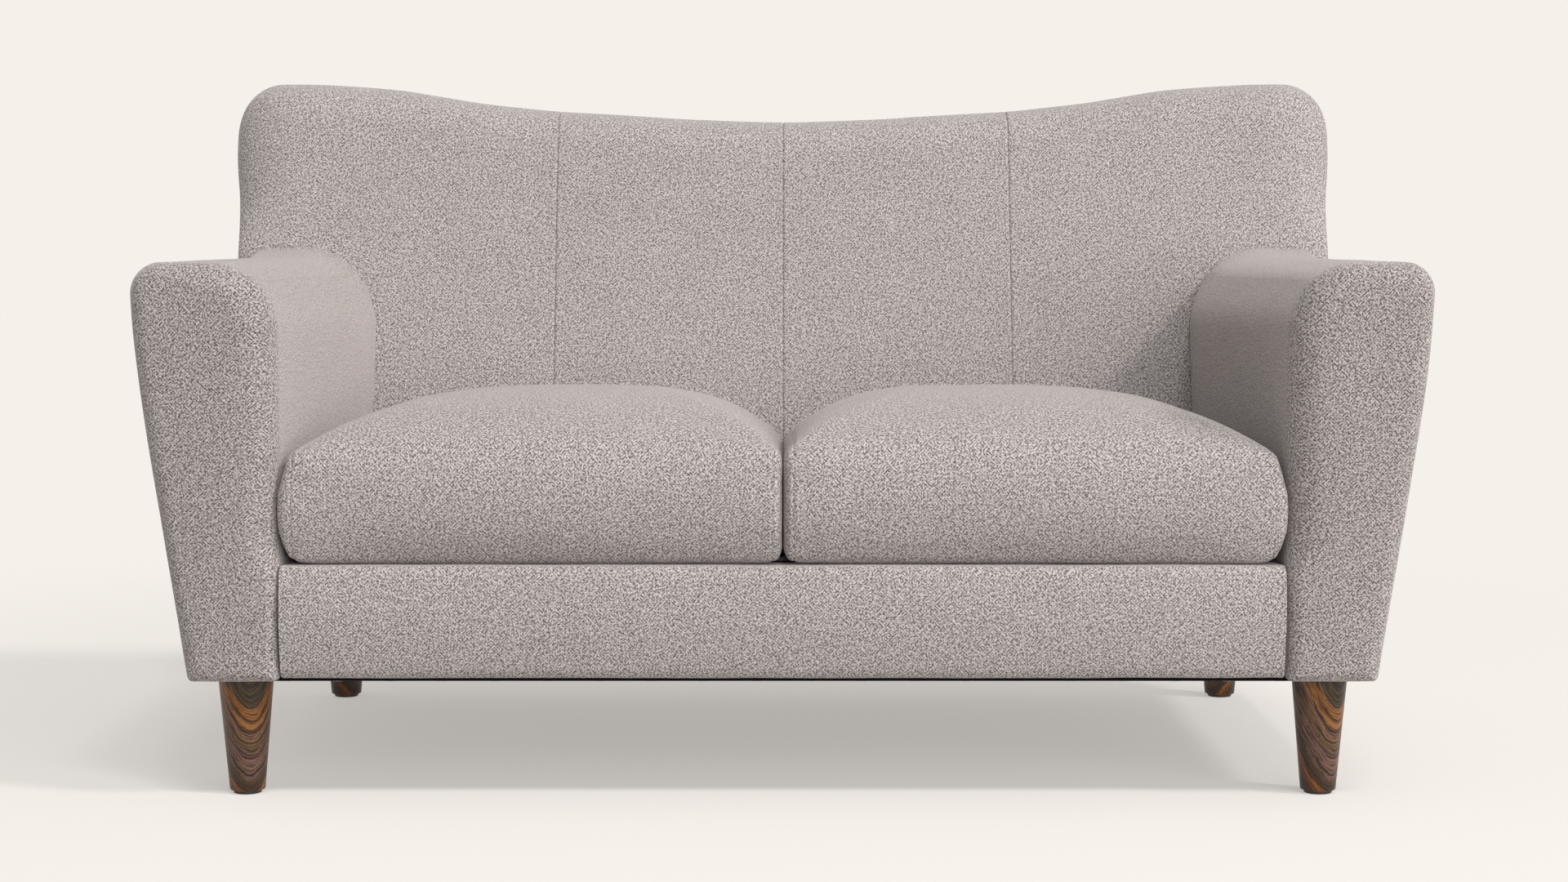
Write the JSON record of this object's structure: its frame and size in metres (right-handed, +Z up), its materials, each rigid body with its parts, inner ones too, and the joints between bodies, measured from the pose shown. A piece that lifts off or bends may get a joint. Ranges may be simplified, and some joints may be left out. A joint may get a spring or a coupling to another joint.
{
  "type": "two-seater sofa",
  "caption": "Compact upholstered sofa with a dipped, channelled back, flared arms, loose seat cushions and round tapered timber legs.",
  "frame": {"origin": "on the floor, below the centre of the overall box", "axes": "+X to the right of someone who looks at the sofa from the front, -Y out of the seat, +Z up"},
  "size_m": [1.568, 0.85, 0.891],
  "materials": {
    "upholstery": "warm grey melange weave",
    "foam": "open-cell cushion foam",
    "frame_timber": "sawn and planed, unfinished",
    "leg_timber": "dark stained, satin lacquer",
    "spring_steel": "drawn and zinc plated",
    "zip_nylon": "woven tape with nylon coil",
    "zip_metal": "enamelled die casting",
    "glide_plastic": "moulded",
    "webbing": "woven elastic webbing",
    "deck_cloth": "plain woven lining",
    "felt": "needled felt",
    "dust_cloth": "non-woven"
  },
  "bodies": {
    "frame": {"left_arm_cover": "upholstery", "right_arm_cover": "upholstery", "left_arm_foam": "foam", "right_arm_foam": "foam", "left_arm_front_board": "frame_timber", "right_arm_front_board": "frame_timber", "left_arm_top_rail": "frame_timber", "right_arm_top_rail": "frame_timber", "left_arm_bottom_rail": "frame_timber", "right_arm_bottom_rail": "frame_timber", "left_back_side_board": "frame_timber", "right_back_side_board": "frame_timber", "left_side_seat_rail": "frame_timber", "right_side_seat_rail": "frame_timber", "left_seat_springs": "spring_steel", "right_seat_springs": "spring_steel", "left_front_leg": "leg_timber", "right_front_leg": "leg_timber", "left_rear_leg": "leg_timber", "right_rear_leg": "leg_timber", "left_front_leg_bolt": "spring_steel", "right_front_leg_bolt": "spring_steel", "left_rear_leg_bolt": "spring_steel", "right_rear_leg_bolt": "spring_steel", "left_front_leg_glide": "glide_plastic", "right_front_leg_glide": "glide_plastic", "left_rear_leg_glide": "glide_plastic", "right_rear_leg_glide": "glide_plastic", "left_front_leg_block": "frame_timber", "right_front_leg_block": "frame_timber", "left_rear_leg_block": "frame_timber", "right_rear_leg_block": "frame_timber", "front_seat_rail": "frame_timber", "rear_seat_rail": "frame_timber", "centre_seat_rail": "frame_timber", "front_spring_batten": "frame_timber", "rear_spring_batten": "frame_timber", "rear_base_rail": "frame_timber", "centre_back_board": "frame_timber", "back_top_rail": "frame_timber", "lower_back_webbing": "webbing", "upper_back_webbing": "webbing", "seat_deck_cloth": "deck_cloth", "seat_deck_felt": "felt", "front_rail_cover": "upholstery", "front_rail_foam": "foam", "inside_back_cover": "upholstery", "back_foam": "foam", "outside_back_cover": "upholstery", "dust_cover": "dust_cloth"},
    "left_seat_cushion": {"left_seat_cushion_cover": "upholstery", "left_seat_cushion_core": "foam", "left_zip_tape": "zip_nylon"},
    "right_seat_cushion": {"right_seat_cushion_cover": "upholstery", "right_seat_cushion_core": "foam", "right_zip_tape": "zip_nylon"},
    "left_zip_slider": {"left_zip_slider": "zip_metal"},
    "right_zip_slider": {"right_zip_slider": "zip_metal"}
  },
  "joints": [
    {"name": "left_cushion_lift", "type": "slide", "parent": "frame", "child": "left_seat_cushion", "axis": [0, 0, 1], "range_m": [0, 0.25]},
    {"name": "right_cushion_lift", "type": "slide", "parent": "frame", "child": "right_seat_cushion", "axis": [0, 0, 1], "range_m": [0, 0.25]},
    {"name": "left_zip", "type": "slide", "parent": "left_seat_cushion", "child": "left_zip_slider", "axis": [1, 0, 0], "range_m": [0, 0.415]},
    {"name": "right_zip", "type": "slide", "parent": "right_seat_cushion", "child": "right_zip_slider", "axis": [-1, 0, 0], "range_m": [0, 0.415]}
  ]
}
